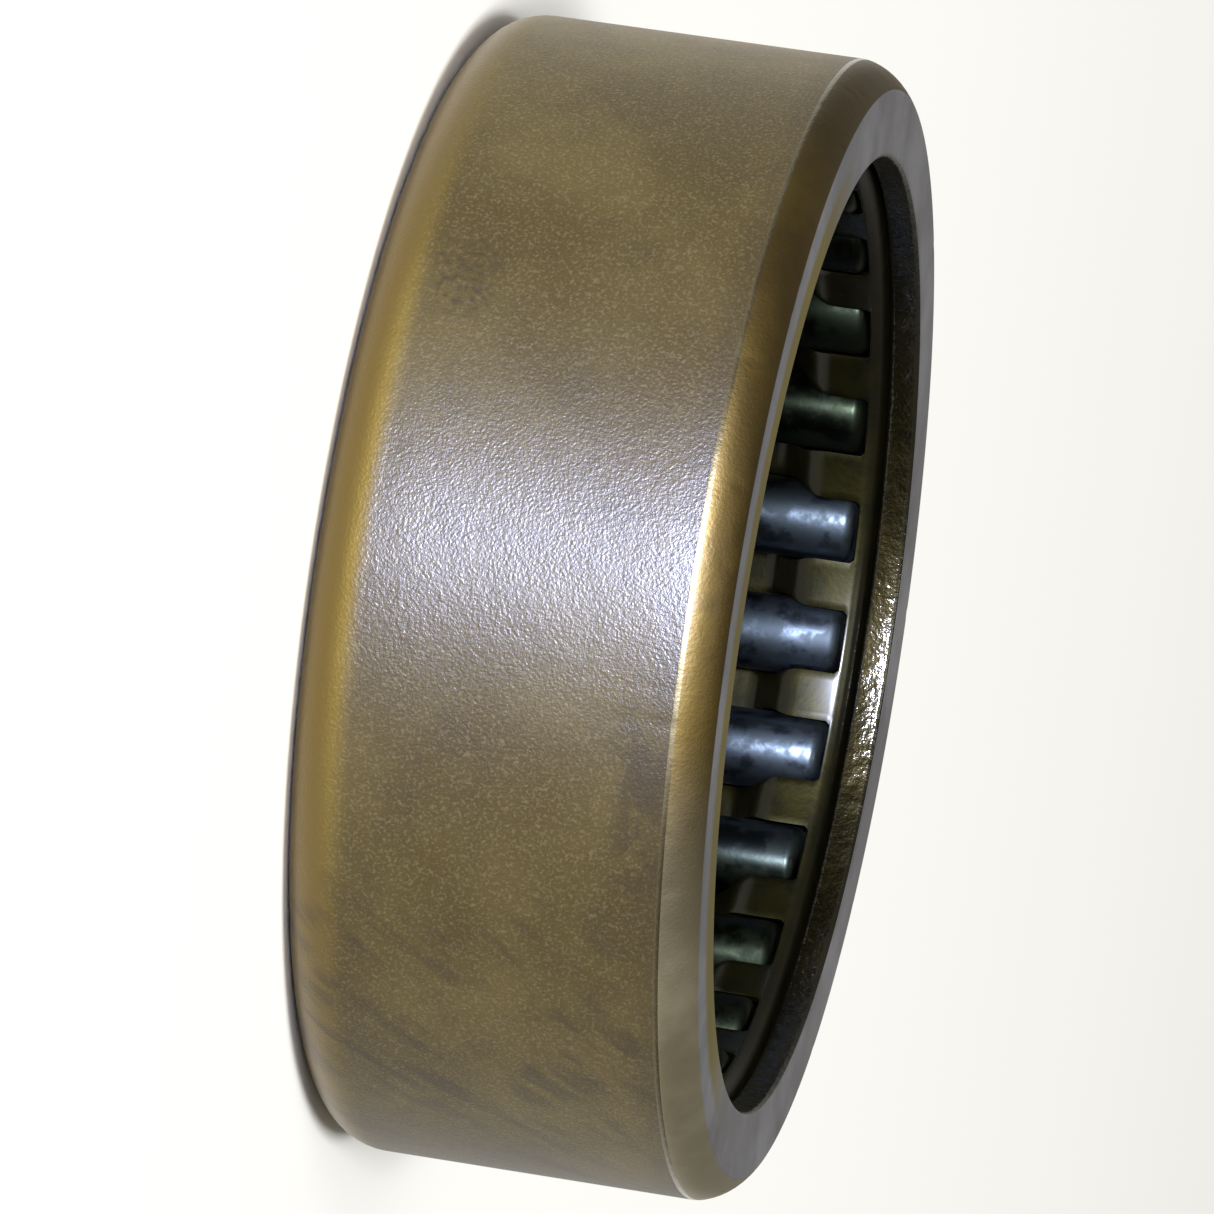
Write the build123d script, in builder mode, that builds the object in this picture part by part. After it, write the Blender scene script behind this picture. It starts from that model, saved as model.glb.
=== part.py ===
"""Drawn cup needle roller bearing, 22 x 28 x 10 mm, open at both ends.

A thin drawn cup with turned-in lips holds a sheet steel cage and twenty-five needle rollers. The
needles roll on the inside of the cup and run directly on a shaft. All sizes are in millimetres.

Frame: the origin is the centre of the bearing and its axis is Z. The front face, with the flatter
shoulder, looks up along +Z, and the rear face, with the round shoulder, looks down along -Z.
"""

import os
from math import cos, pi, radians, sin

from build123d import *

# Boundary sizes of the bearing
needle_circle_diameter = 22.0  # the circle inside the needles, which is the shaft's size
outside_diameter = 28.0
width = 10.0

# Needles
needle_count = 25
needle_diameter = 2.0
needle_length = 7.4
needle_end_radius = 0.3

# Drawn cup
lip_thickness = 0.8
lip_bore_diameter = 23.4
lip_edge_radius = 0.15
raceway_clearance = 0.03  # radial play between the needles and the cup
front_shoulder_axial = 0.9
front_shoulder_radial = 0.65
front_shoulder_bulge = 0.12  # how far the front shoulder's arc stands proud of its chord
rear_shoulder_radius = 1.4
inner_corner_radius = 0.3

# Cage: a folded sheet ring with a flange at each end, low bars beside them and a high middle
cage_sheet = 0.3
cage_inner_diameter = 22.6
cage_outer_diameter = 25.4
cage_end_play = 0.08
pocket_play = 0.06  # room around each needle in its pocket
cage_low_length = 1.5  # length of each low stretch, measured from the cage's end
cage_slope_length = 0.9

# Worked-out sizes
outside_radius = outside_diameter / 2
half_width = width / 2
needle_radius = needle_diameter / 2
pitch_radius = (needle_circle_diameter + needle_diameter) / 2
raceway_radius = pitch_radius + needle_radius + raceway_clearance
lip_bore_radius = lip_bore_diameter / 2
inner_half_width = half_width - lip_thickness
cage_half_width = inner_half_width - cage_end_play
cage_inner_radius = cage_inner_diameter / 2
cage_outer_radius = cage_outer_diameter / 2
low_end = cage_half_width - cage_low_length
high_end = low_end - cage_slope_length
pocket_length = needle_length + 2 * pocket_play

os.makedirs("parts", exist_ok=True)

# Drawn cup: one piece of sheet, drawn to a cup, with a lip turned in at each end. In the section,
# X is the distance from the axis and the sketch's Y runs along the axis.
with BuildPart() as drawn_cup:
    with BuildSketch(Plane.XZ) as cup_section:
        with BuildLine():
            Line(
                (outside_radius, -half_width),
                (outside_radius, half_width - front_shoulder_axial),
            )
            SagittaArc(
                (outside_radius, half_width - front_shoulder_axial),
                (outside_radius - front_shoulder_radial, half_width),
                -front_shoulder_bulge,
            )
            Polyline(
                (outside_radius - front_shoulder_radial, half_width),
                (lip_bore_radius, half_width),
                (lip_bore_radius, inner_half_width),
                (raceway_radius, inner_half_width),
                (raceway_radius, -inner_half_width),
                (lip_bore_radius, -inner_half_width),
                (lip_bore_radius, -half_width),
                (outside_radius, -half_width),
            )
        make_face()
        rear_corner = cup_section.vertices().group_by(Axis.Y)[0].sort_by(Axis.X)[-1]
        fillet(rear_corner, rear_shoulder_radius)
        raceway_corners = [v for v in cup_section.vertices() if abs(v.X - raceway_radius) < 0.01]
        fillet(raceway_corners, inner_corner_radius)
        lip_corners = [v for v in cup_section.vertices() if abs(v.X - lip_bore_radius) < 0.01]
        fillet(lip_corners, lip_edge_radius)
    revolve(axis=Axis.Z)
drawn_cup.part.label = "drawn_cup"
export_step(drawn_cup.part, "parts/drawn_cup.step")

# Cage: the upper half of its section is mirrored, then one pocket is punched for each needle.
with BuildPart() as cage:
    with BuildSketch(Plane.XZ) as cage_section:
        with BuildLine():
            Polyline(
                (cage_outer_radius, 0),
                (cage_outer_radius, high_end),
                (cage_inner_radius + cage_sheet, low_end),
                (cage_inner_radius + cage_sheet, cage_half_width - cage_sheet),
                (cage_outer_radius, cage_half_width - cage_sheet),
                (cage_outer_radius, cage_half_width),
                (cage_inner_radius, cage_half_width),
                (cage_inner_radius, low_end - cage_sheet / 2),
                (cage_outer_radius - cage_sheet, high_end - cage_sheet / 2),
                (cage_outer_radius - cage_sheet, 0),
                close=True,
            )
        make_face()
        mirror(about=Plane.XZ)
    revolve(axis=Axis.Z)
    with BuildSketch(Plane.XY.offset(-pocket_length / 2)):
        with PolarLocations(pitch_radius, needle_count):
            Circle(needle_radius + pocket_play)
    extrude(amount=pocket_length, mode=Mode.SUBTRACT)
cage.part.label = "cage"
export_step(cage.part, "parts/cage.step")

# Needle rollers, counted round the bearing from +X towards +Y
for index in range(needle_count):
    angle = radians(360 / needle_count * index)
    needle_centre = Plane(origin=(pitch_radius * cos(angle), pitch_radius * sin(angle), 0))
    with BuildPart(needle_centre) as needle:
        Cylinder(needle_radius, needle_length)
        fillet(needle.edges().filter_by(GeomType.CIRCLE), needle_end_radius)
    needle.part.label = f"needle_roller_{index + 1:02d}"
    export_step(needle.part, f"parts/{needle.part.label}.step")

bar_width = 2 * pi * pitch_radius / needle_count - 2 * (needle_radius + pocket_play)
print(f"A cage bar is {bar_width:.2f} mm wide at the pitch circle")
print(f"The cup's wall is {outside_radius - raceway_radius:.2f} mm thick")
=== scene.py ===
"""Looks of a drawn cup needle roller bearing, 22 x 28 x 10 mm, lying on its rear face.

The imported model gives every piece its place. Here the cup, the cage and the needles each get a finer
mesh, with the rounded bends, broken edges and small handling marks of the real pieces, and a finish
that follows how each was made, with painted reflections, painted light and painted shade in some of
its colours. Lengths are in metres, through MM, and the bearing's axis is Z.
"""

import logging
import math
from dataclasses import dataclass
from enum import Enum
from typing import Any, Callable

import bmesh
import bpy
from mathutils import Matrix, Vector, noise

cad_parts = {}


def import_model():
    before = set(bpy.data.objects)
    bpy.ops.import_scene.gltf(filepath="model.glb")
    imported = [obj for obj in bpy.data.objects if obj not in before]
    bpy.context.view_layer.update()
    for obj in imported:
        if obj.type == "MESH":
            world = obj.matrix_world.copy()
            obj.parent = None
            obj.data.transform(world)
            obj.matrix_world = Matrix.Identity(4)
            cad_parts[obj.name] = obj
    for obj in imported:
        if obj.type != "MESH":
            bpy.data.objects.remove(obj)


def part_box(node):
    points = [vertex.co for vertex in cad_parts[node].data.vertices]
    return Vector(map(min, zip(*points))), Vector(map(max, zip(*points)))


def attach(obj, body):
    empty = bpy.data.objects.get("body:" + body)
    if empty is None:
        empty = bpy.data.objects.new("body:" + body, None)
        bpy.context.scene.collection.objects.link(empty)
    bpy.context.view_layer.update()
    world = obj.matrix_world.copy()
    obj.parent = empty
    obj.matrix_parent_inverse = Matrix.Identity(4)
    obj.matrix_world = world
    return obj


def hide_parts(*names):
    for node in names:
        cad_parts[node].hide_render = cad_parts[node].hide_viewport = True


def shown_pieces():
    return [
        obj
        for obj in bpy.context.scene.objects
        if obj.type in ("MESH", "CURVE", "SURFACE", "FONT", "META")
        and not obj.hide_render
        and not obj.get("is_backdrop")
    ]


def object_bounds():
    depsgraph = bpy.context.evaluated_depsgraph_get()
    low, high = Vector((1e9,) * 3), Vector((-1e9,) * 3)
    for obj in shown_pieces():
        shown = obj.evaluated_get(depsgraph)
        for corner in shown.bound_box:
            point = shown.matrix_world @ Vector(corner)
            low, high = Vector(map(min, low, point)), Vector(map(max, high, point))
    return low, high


LOG = logging.getLogger("needle_bearing")
MM = 0.001
FULL_TURN = 2 * math.pi
WELD = 0.001 * MM  # points closer than this are one point
NEAR = 0.01 * MM  # places closer than this count as level
NOISE_ROUGHNESS = 0.6


class Slot(Enum):
    """The record's material slots."""

    CUP = "cup"
    CAGE = "cage"
    NEEDLES = "needles"


class Zone(Enum):
    """The zones of the cup's surface, each with its own finish, numbered as its materials are."""

    BODY = 0
    SHOULDER = 1
    EDGE = 2
    FACE = 3
    INSIDE = 4


class Axis(Enum):
    """What a patch on a piece is limited by, in millimetres from the bearing's centre."""

    X = "X"
    Y = "Y"
    Z = "Z"
    RADIUS = "radius"


class Light(Enum):
    """The soft lamps of the studio."""

    KEY = "key_softbox"
    TOP = "top_softbox"
    GROUND = "ground_softbox"


# ---------------------------------------------------------------- shared small tools


def linear(colour: str, alpha: float = 1.0) -> tuple[float, float, float, float]:
    """Turns an sRGB hex colour into linear values.

    Args:
        colour: Six hex digits, such as "685a37".
        alpha: The fourth value.

    Returns:
        Red, green, blue and alpha, linear.
    """
    parts = [int(colour[place : place + 2], 16) / 255 for place in (0, 2, 4)]
    curved = [p / 12.92 if p <= 0.04045 else ((p + 0.055) / 1.055) ** 2.4 for p in parts]
    return (*curved, alpha)


def add_node(
    tree: bpy.types.NodeTree,
    kind: str,
    values: dict[Any, Any] | None = None,
    links: dict[Any, bpy.types.NodeSocket] | None = None,
    **attributes: Any,
) -> bpy.types.Node:
    """Adds one node with its settings and its incoming links.

    Args:
        tree: The tree that gets the node.
        kind: The node's type name.
        values: Socket name or number to its default value.
        links: Socket name or number to the output that feeds it.
        **attributes: Settings of the node itself.

    Returns:
        The new node.
    """
    node = tree.nodes.new(kind)
    for name, value in attributes.items():
        setattr(node, name, value)
    for socket, value in (values or {}).items():
        node.inputs[socket].default_value = value
    for socket, source in (links or {}).items():
        tree.links.new(source, node.inputs[socket])
    return node


def finish_mesh(name: str, bm: bmesh.types.BMesh, *materials: bpy.types.Material) -> bpy.types.Object:
    """Writes a bmesh to a new smooth-shaded object at the origin.

    Args:
        name: The piece's name.
        bm: The finished bmesh, which is freed.
        *materials: The finishes that its faces' material numbers count through.

    Returns:
        The new object.
    """
    for face in bm.faces:
        face.smooth = True
    mesh = bpy.data.meshes.new(name)
    bm.to_mesh(mesh)
    bm.free()
    for material in materials:
        mesh.materials.append(material)
    piece = bpy.data.objects.new(name, mesh)
    bpy.context.scene.collection.objects.link(piece)
    return piece


def arc_between(start: Vector, end: Vector, bulge: float, count: int) -> list[Vector]:
    """Points inside an arc that stands proud of its chord, to the right of the way from start to end.

    Args:
        start: First end of the chord, not in the result.
        end: Last end of the chord, not in the result.
        bulge: The arc's height over the middle of its chord.
        count: How many points to give.

    Returns:
        The points, in order.
    """
    chord = end - start
    side = Vector((chord.z, 0, -chord.x)).normalized()
    half = chord.length / 2
    radius = (half * half + bulge * bulge) / (2 * bulge)
    centre = start + chord / 2 - side * (radius - bulge)
    reach = math.asin(half / radius)
    along = chord.normalized()
    turns = [reach * (2 * (step + 1) / (count + 1) - 1) for step in range(count)]
    return [centre + side * radius * math.cos(t) + along * radius * math.sin(t) for t in turns]


def round_off(
    bm: bmesh.types.BMesh, geom: list[Any], radius: float, segments: int, affect: str
) -> None:
    """Rounds the corners of a flat section, or the edges of a solid.

    Args:
        bm: The bmesh.
        geom: The corners or the edges.
        radius: How far from each of them the arc starts.
        segments: How many steps the arc has.
        affect: "VERTICES" for corners or "EDGES" for edges.
    """
    bmesh.ops.bevel(
        bm,
        geom=geom,
        offset=radius,
        offset_type="OFFSET",
        segments=segments,
        profile=0.5,
        affect=affect,
        material=-1,
    )


def spin_round(bm: bmesh.types.BMesh, geom: list[Any], steps: int) -> None:
    """Spins a section a full turn round the bearing's axis and closes the seam.

    Args:
        bm: The bmesh.
        geom: The section's edges and vertices.
        steps: How many steps the turn has.
    """
    bmesh.ops.spin(
        bm, geom=geom, cent=(0, 0, 0), axis=(0, 0, 1), angle=FULL_TURN, steps=steps, use_merge=True
    )
    bmesh.ops.remove_doubles(bm, verts=bm.verts, dist=WELD)


# ---------------------------------------------------------------- finishes


@dataclass(frozen=True)
class Clouds:
    """A cloudy pattern: a cloud's size, its finer layers, and the noise values that become 0 and 1."""

    size_mm: float
    detail: float
    low: float
    high: float


@dataclass(frozen=True)
class Limit:
    """A smooth step at the side of a patch: what it reads, where nothing shows and where all does."""

    axis: Axis
    none_mm: float
    full_mm: float


@dataclass(frozen=True)
class Mark:
    """A mark from use: the pattern that breaks it up, and its limits."""

    clouds: Clouds
    limits: tuple[Limit, ...]


@dataclass(frozen=True)
class Finish:
    """A finish that makes one material, from a metal and the film of oil on it."""

    name: str
    base: str
    roughness: float
    coat: float
    coat_roughness: float
    coat_ior: float = 1.5

    def start(self) -> tuple[bpy.types.Material, bpy.types.NodeTree, bpy.types.Node]:
        """Makes the material with its shader.

        Returns:
            The material, its node tree and its shader node.
        """
        material = bpy.data.materials.new(self.name)
        material.use_nodes = True
        tree = material.node_tree
        tree.nodes.clear()
        shader = add_node(
            tree,
            "ShaderNodeBsdfPrincipled",
            {
                "Base Color": linear(self.base),
                "Metallic": 1.0,
                "Roughness": self.roughness,
                "Coat Weight": self.coat,
                "Coat Roughness": self.coat_roughness,
                "Coat IOR": self.coat_ior,
            },
        )
        add_node(tree, "ShaderNodeOutputMaterial", links={"Surface": shader.outputs["BSDF"]})
        return material, tree, shader

    @staticmethod
    def in_millimetres(tree: bpy.types.NodeTree) -> bpy.types.NodeSocket:
        """The place on the piece, in millimetres from the bearing's centre.

        Args:
            tree: The material's tree.

        Returns:
            The coordinates' output.
        """
        place = add_node(tree, "ShaderNodeTexCoord")
        scaled = add_node(
            tree,
            "ShaderNodeVectorMath",
            {1: (1 / MM, 1 / MM, 1 / MM)},
            {0: place.outputs["Object"]},
            operation="MULTIPLY",
        )
        return scaled.outputs["Vector"]

    @staticmethod
    def measures(
        tree: bpy.types.NodeTree, place: bpy.types.NodeSocket
    ) -> dict[Axis, bpy.types.NodeSocket]:
        """What the limits of patches read.

        Args:
            tree: The material's tree.
            place: Coordinates in millimetres.

        Returns:
            The output that gives each measure.
        """
        split = add_node(tree, "ShaderNodeSeparateXYZ", links={"Vector": place})
        level = add_node(tree, "ShaderNodeVectorMath", {1: (1, 1, 0)}, {0: place}, operation="MULTIPLY")
        reach = add_node(
            tree, "ShaderNodeVectorMath", links={0: level.outputs["Vector"]}, operation="LENGTH"
        )
        found = {axis: split.outputs[axis.value] for axis in (Axis.X, Axis.Y, Axis.Z)}
        found[Axis.RADIUS] = reach.outputs["Value"]
        return found

    @staticmethod
    def mottle(
        tree: bpy.types.NodeTree, place: bpy.types.NodeSocket, clouds: Clouds
    ) -> bpy.types.NodeSocket:
        """A cloudy pattern from 0 to 1.

        Args:
            tree: The material's tree.
            place: Coordinates in millimetres.
            clouds: Its settings.

        Returns:
            The pattern's output.
        """
        pattern = add_node(
            tree,
            "ShaderNodeTexNoise",
            {"Scale": 1 / clouds.size_mm, "Detail": clouds.detail, "Roughness": NOISE_ROUGHNESS},
            {"Vector": place},
        )
        spread = add_node(
            tree,
            "ShaderNodeMapRange",
            {"From Min": clouds.low, "From Max": clouds.high},
            {"Value": pattern.outputs["Fac"]},
            interpolation_type="SMOOTHSTEP",
        )
        return spread.outputs["Result"]

    @staticmethod
    def patch(
        tree: bpy.types.NodeTree,
        measures: dict[Axis, bpy.types.NodeSocket],
        limits: tuple[Limit, ...],
        *patterns: bpy.types.NodeSocket,
    ) -> bpy.types.NodeSocket:
        """A soft-edged patch: the product of smooth steps.

        Args:
            tree: The material's tree.
            measures: What the limits read.
            limits: The patch's sides.
            *patterns: Patterns from 0 to 1 that it shows through.

        Returns:
            The patch's output.
        """
        steps = [(pattern, 0.0, 1.0) for pattern in patterns]
        steps += [(measures[limit.axis], limit.none_mm, limit.full_mm) for limit in limits]
        product: bpy.types.NodeSocket | None = None
        for value, low, high in steps:
            step = add_node(
                tree,
                "ShaderNodeMapRange",
                {"From Min": low, "From Max": high},
                {"Value": value},
                interpolation_type="SMOOTHSTEP",
            )
            if product is None:
                product = step.outputs["Result"]
                continue
            both = add_node(
                tree,
                "ShaderNodeMath",
                links={0: product, 1: step.outputs["Result"]},
                operation="MULTIPLY",
            )
            product = both.outputs[0]
        return product

    @staticmethod
    def blend(
        tree: bpy.types.NodeTree,
        amount: bpy.types.NodeSocket,
        under: Any,
        over: Any,
        strength: float = 1.0,
    ) -> bpy.types.NodeSocket:
        """Mixes two colours by a pattern.

        Args:
            tree: The material's tree.
            amount: The pattern, where 1 shows the colour on top.
            under: The lower colour, as values or an output.
            over: The upper colour, as values or an output.
            strength: How much of the pattern counts.

        Returns:
            The mixed colour's output.
        """
        scaled = add_node(
            tree, "ShaderNodeMath", {1: strength}, {0: amount}, operation="MULTIPLY", use_clamp=True
        )
        values: dict[Any, Any] = {}
        links: dict[Any, bpy.types.NodeSocket] = {0: scaled.outputs[0]}
        for socket, colour in ((6, under), (7, over)):
            if isinstance(colour, bpy.types.NodeSocket):
                links[socket] = colour
            else:
                values[socket] = colour
        mixed = add_node(tree, "ShaderNodeMix", values, links, data_type="RGBA")
        return mixed.outputs[2]

    @staticmethod
    def relief(
        tree: bpy.types.NodeTree,
        place: bpy.types.NodeSocket,
        size_mm: float,
        height_mm: float,
        detail: float,
        under: bpy.types.NodeSocket | None = None,
    ) -> bpy.types.NodeSocket:
        """A fine uneven relief, as a normal.

        Args:
            tree: The material's tree.
            place: Coordinates in millimetres.
            size_mm: The size of one bump.
            height_mm: How high it stands.
            detail: How many finer layers it has.
            under: The normal that it adds to.

        Returns:
            The normal's output.
        """
        grain = add_node(
            tree,
            "ShaderNodeTexNoise",
            {"Scale": 1 / size_mm, "Detail": detail, "Roughness": NOISE_ROUGHNESS},
            {"Vector": place},
        )
        links = {"Height": grain.outputs["Fac"]}
        if under is not None:
            links["Normal"] = under
        bump = add_node(tree, "ShaderNodeBump", {"Strength": 1.0, "Distance": height_mm * MM}, links)
        return bump.outputs["Normal"]


@dataclass(frozen=True)
class DrawnCupSteel(Finish):
    """Drawn and hardened steel sheet, tumbled, under thin oil; its bronze tone is a painted warm
    reflection.

    Tumbling leaves a fine satin grain, so the metal shines softly, and the oil over it gives the
    neutral sheen. Handling has left cloudy stains, and where a zone is smeared, fingers have left
    slanting smears and dark blots in the oil. Each zone of the cup has its own values, and the colours
    of some zones hold painted reflections, a painted highlight and painted shade.
    """

    pale: str = "504216"
    clouding: float = 0.5  # how strongly the pale clouds show
    clouds: Clouds = Clouds(4.0, 4.0, 0.35, 0.7)
    dark: str = "281c05"
    staining: float = 0.45  # how strongly the dark stains show
    stains: Clouds = Clouds(1.6, 6.0, 0.5, 0.8)
    glint_colour: str = "8a7d58"
    glint_strength: float = 0.0  # how strongly the bright specks of the grain show, as painted glints
    glint_clouds: Clouds = Clouds(0.08, 1.0, 0.45, 0.8)  # painted glints; real ones are finer, drawn coarser to show
    rear_highlight_tone: str = ""  # a painted golden highlight that the rear shoulder turns to, where it is set
    rear_limits: tuple[Limit, ...] = (Limit(Axis.Z, -3.3, -4.4),)
    rear_smoothing: float = 0.5  # how much less rough the rear shoulder is, where its painted highlight is set
    rim_shade_tone: str = ""  # painted shade on the lip's inner part, on the -Y side
    rim_shade_limits: tuple[Limit, ...] = (Limit(Axis.RADIUS, 12.8, 12.45), Limit(Axis.Y, -4.0, -8.0))
    side_reflection_tone: str = ""  # a painted paler reflection that the +X side turns to
    side_reflection_limits: tuple[Limit, ...] = (Limit(Axis.X, 1.5, 9.0),)
    smearing: float = 0.0  # how strongly the marks from handling, and the darker stripe by the front shoulder, show
    strokes: Clouds = Clouds(0.6, 3.0, 0.38, 0.68)
    stroke_width: float = 0.16  # a stroke's width over its length
    stroke_turn: float = math.radians(50)
    smears: Mark = Mark(Clouds(2.4, 2.0, 0.35, 0.6), (Limit(Axis.X, 5.0, 8.5),))
    blots: Mark = Mark(
        Clouds(0.9, 3.0, 0.36, 0.52),
        (
            Limit(Axis.Z, 2.5, 3.5),
            Limit(Axis.X, 0.8, 2.0),
            Limit(Axis.X, 7.5, 5.0),
            Limit(Axis.Y, -8.0, -10.0),
        ),
    )
    scuff: Mark = Mark(
        Clouds(0.16, 2.0, 0.48, 0.62),
        (
            Limit(Axis.Z, -3.8, -3.0),
            Limit(Axis.Z, -1.5, -2.2),
            Limit(Axis.X, -9.0, -8.2),
            Limit(Axis.X, -6.4, -7.2),
            Limit(Axis.Y, -6.0, -8.0),
        ),
    )
    stripe_limits: tuple[Limit, ...] = (Limit(Axis.Z, 3.2, 3.9),)
    stripe_strength: float = 0.5
    roughness_spread: float = 0.06  # how far the roughness goes up and down with the clouds
    grain_mm: float = 0.09  # real tumbled grain is near 0.02 mm, drawn coarser so that it shows
    grain_height_mm: float = 0.006
    wave_mm: float = 0.8
    wave_height_mm: float = 0.011
    cup_radius_mm: float = 14.0

    def unrolled(
        self, tree: bpy.types.NodeTree, measures: dict[Axis, bpy.types.NodeSocket]
    ) -> bpy.types.NodeSocket:
        """The place on the unrolled cup in millimetres: round it, then along its axis.

        Args:
            tree: The material's tree.
            measures: The outputs for X, Y and Z.

        Returns:
            The unrolled coordinates.
        """
        turn = add_node(
            tree, "ShaderNodeMath", links={0: measures[Axis.Y], 1: measures[Axis.X]}, operation="ARCTAN2"
        )
        arc = add_node(
            tree, "ShaderNodeMath", {1: self.cup_radius_mm}, {0: turn.outputs[0]}, operation="MULTIPLY"
        )
        flat = add_node(tree, "ShaderNodeCombineXYZ", links={"X": arc.outputs[0], "Y": measures[Axis.Z]})
        return flat.outputs["Vector"]

    def marks(
        self,
        tree: bpy.types.NodeTree,
        place: bpy.types.NodeSocket,
        measures: dict[Axis, bpy.types.NodeSocket],
    ) -> bpy.types.NodeSocket:
        """The dark marks from handling, and a darker stripe.

        Slanting smears lie on the +X side, blots beside the front shoulder, and a small scuff on the -X
        side.
        The stripe makes the body darker towards the front shoulder, all round.

        Args:
            tree: The material's tree.
            place: Coordinates in millimetres.
            measures: What the limits read.

        Returns:
            The pattern's output.
        """
        slanted = add_node(
            tree,
            "ShaderNodeMapping",
            {"Rotation": (0, 0, self.stroke_turn), "Scale": (1 / self.stroke_width, 1, 1)},
            {"Vector": self.unrolled(tree, measures)},
            vector_type="TEXTURE",
        )
        strokes = self.mottle(tree, slanted.outputs["Vector"], self.strokes)
        # the stripe: the body darker towards the front shoulder, all round
        stripe = self.patch(tree, measures, self.stripe_limits)
        marks = add_node(
            tree, "ShaderNodeMath", {1: self.stripe_strength}, {0: stripe}, operation="MULTIPLY"
        )
        for mark, extra in ((self.smears, [strokes]), (self.blots, []), (self.scuff, [])):
            patterns = [*extra, self.mottle(tree, place, mark.clouds)]
            patch = self.patch(tree, measures, mark.limits, *patterns)
            marks = add_node(
                tree, "ShaderNodeMath", links={0: marks.outputs[0], 1: patch}, operation="MAXIMUM"
            )
        return marks.outputs[0]

    def toned(
        self,
        tree: bpy.types.NodeTree,
        place: bpy.types.NodeSocket,
        measures: dict[Axis, bpy.types.NodeSocket],
        clouds: bpy.types.NodeSocket,
    ) -> bpy.types.NodeSocket:
        """The colour of one zone, with its stains, painted glints, painted reflection, highlight and
        shade tones, and marks.

        Args:
            tree: The material's tree.
            place: Coordinates in millimetres.
            measures: What the limits read.
            clouds: The pale clouds' pattern.

        Returns:
            The colour's output.
        """
        colour = self.blend(tree, clouds, linear(self.base), linear(self.pale), self.clouding)
        stains = self.mottle(tree, place, self.stains)
        colour = self.blend(tree, stains, colour, linear(self.dark), self.staining)
        # painted glints: bright specks in the colour that stand for the grain's sparkle
        if self.glint_strength > 0:
            glint_clouds = self.mottle(tree, place, self.glint_clouds)
            colour = self.blend(tree, glint_clouds, colour, linear(self.glint_colour), self.glint_strength)
        # painted tones: a golden highlight on the rear shoulder, shade on the lip's inner part, a paler
        # reflection on the +X side
        painted_tones = (
            (self.rear_highlight_tone, self.rear_limits),
            (self.rim_shade_tone, self.rim_shade_limits),
            (self.side_reflection_tone, self.side_reflection_limits),
        )
        for tone, limits in painted_tones:
            if tone:
                colour = self.blend(tree, self.patch(tree, measures, limits), colour, linear(tone))
        if self.smearing > 0:
            marks = self.marks(tree, place, measures)
            colour = self.blend(tree, marks, colour, linear(self.dark), self.smearing)
        return colour

    def roughened(
        self,
        tree: bpy.types.NodeTree,
        measures: dict[Axis, bpy.types.NodeSocket],
        clouds: bpy.types.NodeSocket,
    ) -> bpy.types.NodeSocket:
        """The roughness of one zone, which is less on a rear shoulder that has a painted golden
        highlight.

        Args:
            tree: The material's tree.
            measures: What the limits read.
            clouds: The pale clouds' pattern.

        Returns:
            The roughness's output.
        """
        rough = add_node(
            tree,
            "ShaderNodeMapRange",
            {
                "To Min": self.roughness - self.roughness_spread,
                "To Max": self.roughness + self.roughness_spread,
            },
            {"Value": clouds},
        )
        if not self.rear_highlight_tone:
            return rough.outputs["Result"]
        smoother = add_node(
            tree,
            "ShaderNodeMath",
            {1: -self.rear_smoothing, 2: self.roughness},
            {0: self.patch(tree, measures, self.rear_limits)},
            operation="MULTIPLY_ADD",
        )
        least = add_node(
            tree,
            "ShaderNodeMath",
            links={0: rough.outputs["Result"], 1: smoother.outputs[0]},
            operation="MINIMUM",
        )
        return least.outputs[0]

    def make(self) -> bpy.types.Material:
        """Makes the material for one zone of the cup.

        Returns:
            The material.
        """
        material, tree, shader = self.start()
        place = self.in_millimetres(tree)
        measures = self.measures(tree, place)
        clouds = self.mottle(tree, place, self.clouds)
        tree.links.new(self.toned(tree, place, measures, clouds), shader.inputs["Base Color"])
        tree.links.new(self.roughened(tree, measures, clouds), shader.inputs["Roughness"])
        normal = self.relief(tree, place, self.grain_mm, self.grain_height_mm, detail=2.0)
        normal = self.relief(
            tree, place, self.wave_mm, self.wave_height_mm, detail=4.0, under=normal
        )
        tree.links.new(normal, shader.inputs["Normal"])
        tree.links.new(normal, shader.inputs["Coat Normal"])
        return material


@dataclass(frozen=True)
class CageStripSteel(Finish):
    """Cold-rolled strip, punched and folded, with oil on it.

    Its dark olive colour is painted shade of the bore, and the oil gives small lights.
    """

    dark: str = "0f0e04"
    darkening: float = 0.7  # how strongly the darker clouds show
    clouds: Clouds = Clouds(0.8, 5.0, 0.4, 0.65)
    grain_mm: float = 0.15
    grain_height_mm: float = 0.01

    def make(self) -> bpy.types.Material:
        """Makes the cage's material.

        Returns:
            The material.
        """
        material, tree, shader = self.start()
        place = self.in_millimetres(tree)
        clouds = self.mottle(tree, place, self.clouds)
        colour = self.blend(tree, clouds, linear(self.base), linear(self.dark), self.darkening)
        tree.links.new(colour, shader.inputs["Base Color"])
        normal = self.relief(tree, place, self.grain_mm, self.grain_height_mm, detail=3.0)
        tree.links.new(normal, shader.inputs["Normal"])
        return material


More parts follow.
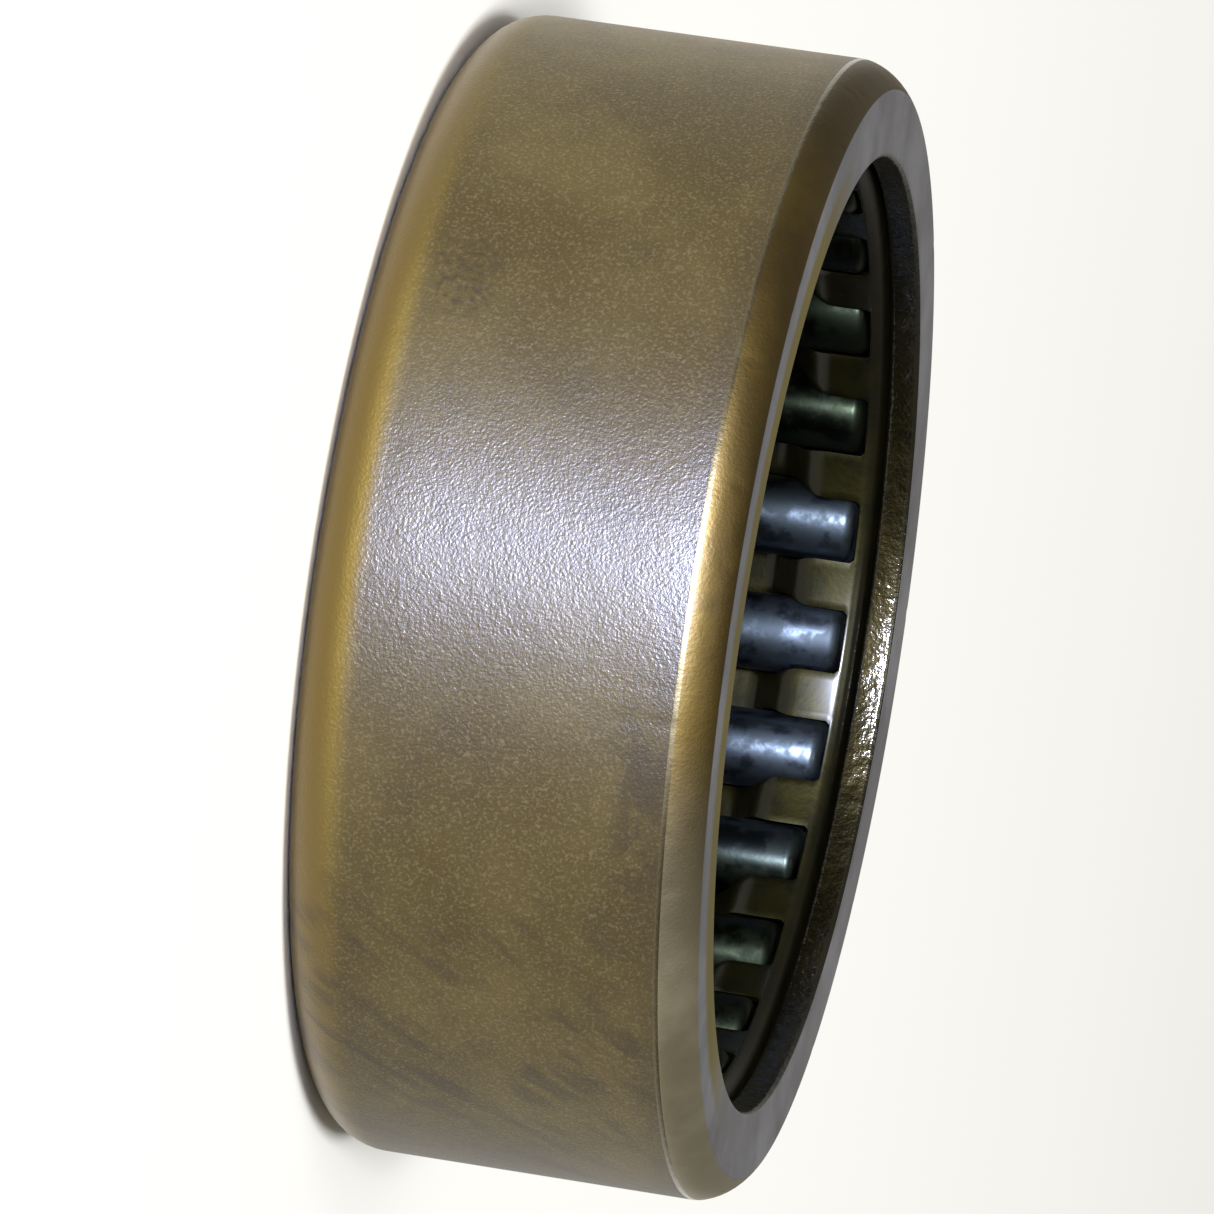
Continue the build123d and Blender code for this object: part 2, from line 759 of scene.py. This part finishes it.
@dataclass(frozen=True)
class NeedleSteel(Finish):
    """Through-hardened bearing steel, ground and lapped, under a film of old oil, painted dark for the
    shade in the bore.

    The oil dulls the ground surface, and the needles show soft bright lights. A lighter stretch across
    the middle needles is a painted pool of light.
    """

    # the dark colour of old oil, which outside the stretch of painted light is also painted shade
    oil: str = "12150d"
    oiling: float = 0.5  # how strongly the clouds of oil show on the stretch of painted light
    clouds: Clouds = Clouds(0.8, 4.0, 0.38, 0.6)
    # the stretch of painted light: lighter steel on the middle needles, between these limits
    lit_stretch_limits: tuple[Limit, ...] = (Limit(Axis.X, -4.5, -1.0), Limit(Axis.X, 7.0, 3.5))
    smoother: float = 0.1  # how much less rough the cleanest places are
    duller: float = 0.15  # how much rougher the oiliest places are
    wave_mm: float = 0.5
    wave_height_mm: float = 0.006

    def make(self) -> bpy.types.Material:
        """Makes the needles' material, darker on both sides of a stretch of painted light, with clouds
        of old oil.

        Returns:
            The material.
        """
        material, tree, shader = self.start()
        place = self.in_millimetres(tree)
        # a painted pool of light across the middle needles
        painted_light = self.patch(tree, self.measures(tree, place), self.lit_stretch_limits)
        colour = self.blend(tree, painted_light, linear(self.oil), linear(self.base))
        clouds = self.mottle(tree, place, self.clouds)
        colour = self.blend(tree, clouds, colour, linear(self.oil), self.oiling)
        tree.links.new(colour, shader.inputs["Base Color"])
        rough = add_node(
            tree,
            "ShaderNodeMapRange",
            {"To Min": self.roughness - self.smoother, "To Max": self.roughness + self.duller},
            {"Value": clouds},
        )
        tree.links.new(rough.outputs["Result"], shader.inputs["Roughness"])
        normal = self.relief(tree, place, self.wave_mm, self.wave_height_mm, detail=3.0)
        tree.links.new(normal, shader.inputs["Normal"])
        return material


@dataclass(frozen=True)
class MattePaper:
    """Smooth pale studio paper, matte, which gives the soft even ground."""

    name: str = "studio_paper"
    colour: str = "f4f4f2"
    roughness: float = 0.9

    def make(self) -> bpy.types.Material:
        """Makes the floor's material.

        Returns:
            The material.
        """
        material = bpy.data.materials.new(self.name)
        material.use_nodes = True
        tree = material.node_tree
        tree.nodes.clear()
        shader = add_node(
            tree,
            "ShaderNodeBsdfPrincipled",
            {"Base Color": linear(self.colour), "Roughness": self.roughness},
        )
        add_node(tree, "ShaderNodeOutputMaterial", links={"Surface": shader.outputs["BSDF"]})
        return material


# ---------------------------------------------------------------- the drawn cup


@dataclass
class DrawnCup:
    """The thin outer shell, with a lip turned in at each end."""

    node: str = "drawn_cup"
    lip_thickness: float = 0.8 * MM
    lip_bore_radius: float = 11.7 * MM
    lip_edge_radius: float = 0.15 * MM
    raceway_radius: float = 13.03 * MM
    inner_corner_radius: float = 0.3 * MM
    front_shoulder_axial: float = 0.9 * MM
    front_shoulder_radial: float = 0.65 * MM
    front_shoulder_bulge: float = 0.12 * MM
    front_edge_radius: float = 0.06 * MM
    rear_shoulder_radius: float = 1.4 * MM
    face_depth: float = 0.02 * MM  # how far below a lip's face a place still counts as on it
    longest_plain_edge: float = 0.6 * MM
    long_edge_cuts: int = 5
    shoulder_points: int = 7
    front_edge_segments: int = 3
    rear_shoulder_segments: int = 12
    corner_segments: int = 5
    steps_round: int = 720
    nick_depth: float = 0.02 * MM
    nick_size: float = 0.35 * MM
    nick_reach: float = 1.2  # how far down from the face nicks are, over the shoulder's height
    nick_inmost: float = 0.93  # how near the axis nicks are, over the raceway's radius
    nick_least: float = 0.35  # the noise value where a nick starts

    def outline(self, outer: float, half: float) -> bmesh.types.BMesh:
        """Draws the cup's section as one flat face, corners rounded, with long edges divided.

        Args:
            outer: The cup's outer radius.
            half: Half of its width.

        Returns:
            A bmesh that holds the section.
        """
        shoulder_start = Vector((outer, 0, half - self.front_shoulder_axial))
        shoulder_end = Vector((outer - self.front_shoulder_radial, 0, half))
        arc = arc_between(
            shoulder_start, shoulder_end, self.front_shoulder_bulge, self.shoulder_points
        )
        inner = half - self.lip_thickness
        bore_side = [
            (self.lip_bore_radius, half, self.lip_edge_radius),
            (self.lip_bore_radius, inner, self.lip_edge_radius),
            (self.raceway_radius, inner, self.inner_corner_radius),
            (self.raceway_radius, -inner, self.inner_corner_radius),
            (self.lip_bore_radius, -inner, self.lip_edge_radius),
            (self.lip_bore_radius, -half, self.lip_edge_radius),
        ]
        rounded = [
            (Vector((outer, 0, -half)), self.rear_shoulder_radius, self.rear_shoulder_segments),
            (shoulder_start, self.front_edge_radius, self.front_edge_segments),
            *[(point, 0.0, 0) for point in arc],
            (shoulder_end, self.front_edge_radius, self.front_edge_segments),
            *[(Vector((x, 0, z)), radius, self.corner_segments) for x, z, radius in bore_side],
        ]
        bm = bmesh.new()
        turning_points = [bm.verts.new(point) for point, _, _ in rounded]
        bm.faces.new(turning_points)
        for turning_point, (_, radius, segments) in zip(turning_points, rounded):
            if radius > 0:
                round_off(bm, [turning_point], radius, segments, "VERTICES")
        long_edges = [edge for edge in bm.edges if edge.calc_length() > self.longest_plain_edge]
        bmesh.ops.subdivide_edges(bm, edges=long_edges, cuts=self.long_edge_cuts)
        return bm

    def add_nicks(self, bm: bmesh.types.BMesh, half: float) -> None:
        """Presses small handling nicks into the front lip's edges, always into the metal.

        Args:
            bm: The spun cup.
            half: Half of its width.
        """
        lowest = half - self.nick_reach * self.front_shoulder_axial
        for vertex in bm.verts:
            radius = math.hypot(vertex.co.x, vertex.co.y)
            if vertex.co.z < lowest or radius < self.raceway_radius * self.nick_inmost:
                continue
            strength = max(0.0, noise.noise(vertex.co / self.nick_size) - self.nick_least)
            depth = strength * 2 * self.nick_depth
            inward = Vector((-vertex.co.x / radius, -vertex.co.y / radius, -1)).normalized()
            vertex.co += inward * depth

    def zone(self, centre: Vector, outer: float, half: float) -> Zone:
        """The zone that a face of the cup is in.

        Args:
            centre: The face's centre.
            outer: The cup's outer radius.
            half: Half of its width.

        Returns:
            The zone.
        """
        radius = math.hypot(centre.x, centre.y)
        height = abs(centre.z)
        edge_height = half - self.front_shoulder_axial
        in_bore = radius < self.lip_bore_radius + 0.5 * self.lip_edge_radius
        under_lips = height < half - 0.5 * self.lip_thickness and radius < self.raceway_radius + NEAR
        if in_bore or under_lips:
            return Zone.INSIDE
        if radius < outer - self.front_shoulder_radial and height > half - self.face_depth:
            return Zone.FACE
        if abs(centre.z - edge_height) < self.front_edge_radius:
            return Zone.EDGE
        if radius < self.raceway_radius:
            return Zone.INSIDE
        return Zone.SHOULDER if centre.z > edge_height else Zone.BODY

    def build(self, materials: list[bpy.types.Material]) -> bpy.types.Object:
        """Makes the cup.

        Args:
            materials: Its finishes, in the order of its zones.

        Returns:
            The cup's piece.
        """
        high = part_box(self.node)[1]
        outer = high.x
        half = high.z
        bm = self.outline(outer, half)
        section = bm.faces[:]
        ring = bm.edges[:] + bm.verts[:]
        bmesh.ops.delete(bm, geom=section, context="FACES_ONLY")
        spin_round(bm, ring, self.steps_round)
        bmesh.ops.recalc_face_normals(bm, faces=bm.faces)
        for face in bm.faces:
            face.material_index = self.zone(face.calc_center_median(), outer, half).value
        self.add_nicks(bm, half)
        piece = finish_mesh("cup_shell", bm, *materials)
        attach(piece, "cup")
        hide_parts(self.node)
        return piece


# ---------------------------------------------------------------- the cage


@dataclass
class Cage:
    """The folded strip that keeps the needles apart, with one window for each needle."""

    node: str = "cage"
    needle_count: int = 25
    pitch_radius: float = 12.0 * MM
    needle_radius: float = 1.0 * MM
    window_half_length: float = 3.76 * MM
    window_play: float = 0.06 * MM
    inner_radius: float = 11.3 * MM
    sheet: float = 0.3 * MM
    low_length: float = 1.5 * MM
    slope_length: float = 0.9 * MM
    slope_cuts: int = 5
    bend_segments: int = 4
    steps_per_cell: int = 12
    bar_half_steps: int = 3
    broken_edge: float = 0.03 * MM
    broken_edge_segments: int = 2
    sharp_angle: float = math.radians(50)

    @property
    def cell(self) -> float:
        """The angle from one needle to the next."""
        return FULL_TURN / self.needle_count

    def from_bar(self, place: Vector) -> float:
        """The angle of a place from the middle of its bar, where the first needle stands on +X."""
        return (math.atan2(place.y, place.x) % self.cell) - self.cell / 2

    def middle_line(self, outer: float, half: float) -> list[Vector]:
        """The middle of the sheet as a bent line, from the lower flange's rim to the upper one's.

        Args:
            outer: The cage's outer radius.
            half: Half of its length.

        Returns:
            The line's points, with each bend rounded.
        """
        middle_inner = self.inner_radius + self.sheet / 2
        middle_outer = outer - self.sheet / 2
        flange = half - self.sheet / 2
        low_end = half - self.low_length
        high_end = low_end - self.slope_length
        upper = [
            Vector((middle_outer, 0, high_end - self.sheet / 4)),
            Vector((middle_inner, 0, low_end - self.sheet / 4)),
            Vector((middle_inner, 0, flange)),
            Vector((outer, 0, flange)),
        ]
        lower = [Vector((point.x, 0, -point.z)) for point in reversed(upper)]
        bends = lower + upper
        line = [bends[0]]
        for before, corner, after in zip(bends, bends[1:], bends[2:]):
            cut = min(self.sheet, (before - corner).length / 3, (after - corner).length / 3)
            start = corner + (before - corner).normalized() * cut
            end = corner + (after - corner).normalized() * cut
            for step in range(self.bend_segments + 1):
                t = step / self.bend_segments
                line.append(start * (1 - t) ** 2 + corner * (2 * t * (1 - t)) + end * t * t)
        line.append(bends[-1])
        return line

    def bar_half_angle(self, radius: float) -> float:
        """Half the angle that a bar takes, where the needle's window leaves it room.

        Args:
            radius: The distance from the axis.

        Returns:
            The angle.
        """
        reach = self.needle_radius + self.window_play
        offset = self.pitch_radius - radius
        half_window = math.sqrt(reach * reach - offset * offset)
        return math.pi / self.needle_count - math.asin(half_window / radius)

    def build(self, material: bpy.types.Material) -> bpy.types.Object:
        """Makes the cage.

        Args:
            material: Its finish.

        Returns:
            The cage's piece.
        """
        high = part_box(self.node)[1]
        bm = bmesh.new()
        line = [bm.verts.new(point) for point in self.middle_line(high.x, high.z)]
        for pair in zip(line, line[1:]):
            bm.edges.new(pair)
        for height in (self.window_half_length, -self.window_half_length):
            bmesh.ops.bisect_plane(
                bm, geom=bm.verts[:] + bm.edges[:], plane_co=(0, 0, height), plane_no=(0, 0, 1)
            )
        slopes = [edge for edge in bm.edges if self.is_slope(edge)]
        bmesh.ops.subdivide_edges(bm, edges=slopes, cuts=self.slope_cuts)
        spin_round(bm, bm.verts[:] + bm.edges[:], self.needle_count * self.steps_per_cell)
        self.cut_windows(bm)
        bmesh.ops.recalc_face_normals(bm, faces=bm.faces)
        piece = finish_mesh("cage_strip", bm, material)
        self.thicken(piece)
        self.fit_bars(piece.data)
        bevel = piece.modifiers.new("broken_edges", "BEVEL")
        bevel.width = self.broken_edge
        bevel.segments = self.broken_edge_segments
        bevel.limit_method = "ANGLE"
        bevel.angle_limit = self.sharp_angle
        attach(piece, "cage")
        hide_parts(self.node)
        return piece

    def is_slope(self, edge: bmesh.types.BMEdge) -> bool:
        """Whether a stretch of the middle line goes both along the axis and away from it."""
        way = edge.verts[1].co - edge.verts[0].co
        return min(abs(way.x), abs(way.z)) > self.sheet

    def cut_windows(self, bm: bmesh.types.BMesh) -> None:
        """Removes the sheet at each needle.

        Args:
            bm: The spun sheet, whose first column stands at the first needle's middle.
        """
        bar_reach = self.bar_half_steps * (self.cell / self.steps_per_cell)
        window = []
        for face in bm.faces:
            centre = face.calc_center_median()
            if abs(self.from_bar(centre)) > bar_reach and abs(centre.z) < self.window_half_length:
                window.append(face)
        bmesh.ops.delete(bm, geom=window, context="FACES")

    def thicken(self, piece: bpy.types.Object) -> None:
        """Gives the sheet its thickness, half to each side.

        Args:
            piece: The cage, still without thickness.
        """
        wall = piece.modifiers.new("sheet", "SOLIDIFY")
        wall.thickness = self.sheet
        wall.offset = 0.0
        wall.use_even_offset = True
        bpy.context.view_layer.update()
        evaluated = piece.evaluated_get(bpy.context.evaluated_depsgraph_get())
        thick = bpy.data.meshes.new_from_object(evaluated)
        piece.modifiers.clear()
        piece.data = thick

    def fit_bars(self, mesh: bpy.types.Mesh) -> None:
        """Hollows the bars' sides, so that they follow the needles at every radius.

        Args:
            mesh: The thick sheet, whose first column stands at the first needle's middle.
        """
        step = self.cell / self.steps_per_cell
        for vertex in mesh.vertices:
            if abs(vertex.co.z) > self.window_half_length + WELD:
                continue
            radius = math.hypot(vertex.co.x, vertex.co.y)
            from_bar = self.from_bar(vertex.co)
            columns = round(from_bar / step)
            if abs(columns) > self.bar_half_steps:
                continue
            wanted = self.bar_half_angle(radius) * columns / self.bar_half_steps
            vertex.co = Matrix.Rotation(wanted - from_bar, 3, "Z") @ vertex.co


# ---------------------------------------------------------------- the needles


@dataclass
class NeedleSet:
    """The needle rollers, each a spun bar with rounded ends."""

    count: int = 25
    end_radius: float = 0.3 * MM
    end_segments: int = 5
    steps_round: int = 64

    def needle(self, number: int, material: bpy.types.Material) -> bpy.types.Object:
        """Makes one needle.

        Args:
            number: Its number, from 1.
            material: Its finish.

        Returns:
            The needle's piece.
        """
        node = f"needle_roller_{number:02d}"
        low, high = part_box(node)
        centre = (low + high) / 2
        radius = (high.x - low.x) / 2
        half = (high.z - low.z) / 2
        bm = bmesh.new()
        bmesh.ops.create_cone(
            bm,
            cap_ends=True,
            cap_tris=False,
            segments=self.steps_round,
            radius1=radius,
            radius2=radius,
            depth=2 * half,
        )
        rims = [
            edge for edge in bm.edges if abs(edge.verts[0].co.z - edge.verts[1].co.z) < NEAR
        ]
        round_off(bm, rims, self.end_radius, self.end_segments, "EDGES")
        bmesh.ops.translate(bm, verts=bm.verts, vec=centre)
        piece = finish_mesh(f"needle_{number:02d}", bm, material)
        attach(piece, f"needle_{number:02d}")
        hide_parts(node)
        return piece

    def build(self, material: bpy.types.Material) -> list[bpy.types.Object]:
        """Makes every needle with one finish."""
        return [self.needle(number, material) for number in range(1, self.count + 1)]


# ---------------------------------------------------------------- the studio


@dataclass(frozen=True)
class Softbox:
    """A soft lamp that points at the bearing: its direction and distance, its size and its power."""

    light: Light
    side: float
    elevation: float
    distance: float
    size: tuple[float, float]
    watts: float
    colour: str = "ffffff"


@dataclass
class Studio:
    """A pale floor, soft lamps and the camera.

    The camera looks from low beside the bearing and is turned on its side, so that the bearing's
    axis lies nearly level across the view.
    """

    floor_radius: float = 3.0
    floor_segments: int = 96
    azimuth: float = math.radians(-3.1)
    elevation: float = math.radians(10.23)
    roll: float = math.radians(98.5)
    distance: float = 243.7 * MM
    aim_right: float = 0.34 * MM  # how far right of the view's middle the bearing's centre is
    aim_up: float = 0.03 * MM  # how far above the view's middle it is
    lens: float = 296.5
    sensor_width: float = 36.0
    nearest: float = 0.01
    farthest: float = 10.0
    key: Softbox = Softbox(
        Light.KEY, math.radians(-12.0), math.radians(9.0), 0.9, (0.16, 0.12), 62.0, "d4dcff"
    )
    top: Softbox = Softbox(Light.TOP, math.radians(-8.0), math.radians(60.0), 1.1, (0.5, 0.5), 3.0)
    ground: Softbox = Softbox(Light.GROUND, 0.0, math.atan2(4, 3), 1.5, (0.4, 0.4), 20.0)
    surround: str = "f4efe2"
    surround_strength: float = 0.3

    @staticmethod
    def towards(side: float, elevation: float) -> Vector:
        """The direction that stands at an angle round from -Y, towards +X, and up from the floor."""
        level = math.cos(elevation)
        return Vector((math.sin(side) * level, -math.cos(side) * level, math.sin(elevation)))

    def camera_axes(self) -> tuple[Vector, Vector, Vector]:
        """The way the camera stands.

        Returns:
            Its right, up and backward directions.
        """
        back = self.towards(self.azimuth, self.elevation)
        level = Vector((math.cos(self.azimuth), math.sin(self.azimuth), 0))
        upright = back.cross(level)
        right = math.cos(self.roll) * level + math.sin(self.roll) * upright
        up = -math.sin(self.roll) * level + math.cos(self.roll) * upright
        return right, up, back

    def place_camera(self) -> None:
        """Makes the camera."""
        right, up, back = self.camera_axes()
        data = bpy.data.cameras.new("camera")
        data.lens = self.lens
        data.sensor_width = self.sensor_width
        data.clip_start = self.nearest
        data.clip_end = self.farthest
        camera = bpy.data.objects.new("camera", data)
        turn = Matrix((right, up, back)).transposed()
        place = back * self.distance - right * self.aim_right - up * self.aim_up
        camera.matrix_world = Matrix.Translation(place) @ turn.to_4x4()
        bpy.context.scene.collection.objects.link(camera)
        bpy.context.scene.camera = camera

    def lay_floor(self, height: float) -> bpy.types.Object:
        """Lays the round floor.

        Args:
            height: Where its surface is.

        Returns:
            The floor.
        """
        bm = bmesh.new()
        bmesh.ops.create_circle(
            bm, cap_ends=True, segments=self.floor_segments, radius=self.floor_radius
        )
        bmesh.ops.translate(bm, verts=bm.verts, vec=(0, 0, height))
        floor = finish_mesh("floor", bm, MattePaper().make())
        floor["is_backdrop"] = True
        return floor

    def hang_lamp(self, softbox: Softbox) -> bpy.types.Object:
        """Hangs one soft lamp.

        Args:
            softbox: Its settings.

        Returns:
            The lamp.
        """
        data = bpy.data.lights.new(softbox.light.value, "AREA")
        data.shape = "RECTANGLE"
        data.size, data.size_y = softbox.size
        data.energy = softbox.watts
        data.color = linear(softbox.colour)[:3]
        lamp = bpy.data.objects.new(softbox.light.value, data)
        place = self.towards(softbox.side, softbox.elevation) * softbox.distance
        turn = (-place).to_track_quat("-Z", "Y").to_matrix()
        lamp.matrix_world = Matrix.Translation(place) @ turn.to_4x4()
        lamp.visible_camera = False
        bpy.context.scene.collection.objects.link(lamp)
        return lamp

    @staticmethod
    def light_only(lamp: bpy.types.Object, lit: list[bpy.types.Object]) -> None:
        """Makes a lamp light some objects only.

        Args:
            lamp: The lamp.
            lit: What it lights.
        """
        receivers = bpy.data.collections.new(f"lit_by_{lamp.name}")
        for thing in lit:
            receivers.objects.link(thing)
        lamp.light_linking.receiver_collection = receivers

    def light(self, floor: bpy.types.Object) -> None:
        """Lights the bearing and the floor with a lamp each, and both with a top lamp and a surround.

        Args:
            floor: The floor.
        """
        self.light_only(self.hang_lamp(self.key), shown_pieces())
        self.hang_lamp(self.top)
        self.light_only(self.hang_lamp(self.ground), [floor])
        world = bpy.data.worlds.new("surround")
        world.use_nodes = True
        tree = world.node_tree
        tree.nodes.clear()
        sky = add_node(
            tree,
            "ShaderNodeBackground",
            {"Color": linear(self.surround), "Strength": self.surround_strength},
        )
        add_node(tree, "ShaderNodeOutputWorld", links={"Surface": sky.outputs["Background"]})
        bpy.context.scene.world = world
        bpy.context.scene.view_settings.view_transform = "Standard"


# ---------------------------------------------------------------- putting it together


def cup_finishes() -> dict[Zone, DrawnCupSteel]:
    """The cup's finish in each of its zones."""
    return {
        Zone.BODY: DrawnCupSteel(
            "tumbled_steel_painted_warm_reflection",
            # the bronze base colour is a painted warm reflection on the steel
            base="3a2c01",
            roughness=0.92,
            coat=0.65,
            coat_roughness=0.34,
            coat_ior=1.6,
            clouding=0.7,
            glint_strength=0.22,
            # a painted golden highlight on the rear shoulder
            rear_highlight_tone="665108",
            smearing=0.62,
            grain_mm=0.075,
            grain_height_mm=0.012,
        ),
        Zone.SHOULDER: DrawnCupSteel(
            "drawn_shoulder_painted_golden_reflection",
            # the golden base colour is a painted reflection on the shoulder's bend
            base="453508",
            roughness=0.5,
            coat=0.35,
            coat_roughness=0.4,
            pale="504014",
            clouding=0.4,
            dark="2c2108",
            # a painted paler reflection on the +X side of the shoulder
            side_reflection_tone="8a8060",
        ),
        Zone.EDGE: DrawnCupSteel(
            "worn_polished_edge",
            base="5c5238",
            roughness=0.35,
            coat=0.6,
            coat_roughness=0.15,
            pale="6a6046",
            dark="3c3420",
            wave_height_mm=0.012,
        ),
        Zone.FACE: DrawnCupSteel(
            "oiled_lip_face",
            base="625f58",
            roughness=0.7,
            coat=0.6,
            coat_roughness=0.35,
            pale="7a766c",
            dark="3c382f",
            # painted shade on the lip's inner edge, on the -Y side
            rim_shade_tone="5c4f0e",
            wave_height_mm=0.006,
        ),
        Zone.INSIDE: DrawnCupSteel(
            "oiled_inside_painted_bore_shade",
            # the dark base colour is painted shade of the bore
            base="1a1606",
            roughness=0.45,
            coat=0.9,
            coat_roughness=0.15,
            pale="2a2410",
            dark="0a0906",
            wave_mm=0.4,
            wave_height_mm=0.05,
        ),
    }


def main() -> None:
    """Builds the bearing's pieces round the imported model, then the studio."""
    logging.basicConfig(level=logging.INFO, format="%(name)s: %(message)s")
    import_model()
    cad_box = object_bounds()

    on_cup = cup_finishes()
    on_cage = CageStripSteel(
        # the dark olive base colour is painted shade of the bore
        "strip_steel_painted_bore_shade", base="1c1904", roughness=0.5, coat=0.4, coat_roughness=0.25
    )
    on_needles = NeedleSteel(
        # the base is the lighter colour of the stretch of painted light
        "lapped_bearing_steel", base="3b4144", roughness=0.4, coat=0.0, coat_roughness=0.25
    )
    steps: list[tuple[str, Callable[[], Any]]] = [
        ("drawn cup", lambda: DrawnCup().build([on_cup[zone].make() for zone in Zone])),
        ("cage", lambda: Cage().build(on_cage.make())),
        ("needles", lambda: NeedleSet().build(on_needles.make())),
    ]
    for title, step in steps:
        step()
        LOG.info("built the %s", title)

    studio = Studio()
    floor = studio.lay_floor(cad_box[0].z)
    studio.place_camera()
    studio.light(floor)
    LOG.info("set up the studio")

    bpy.context.view_layer.update()


if __name__ == "__main__":
    main()
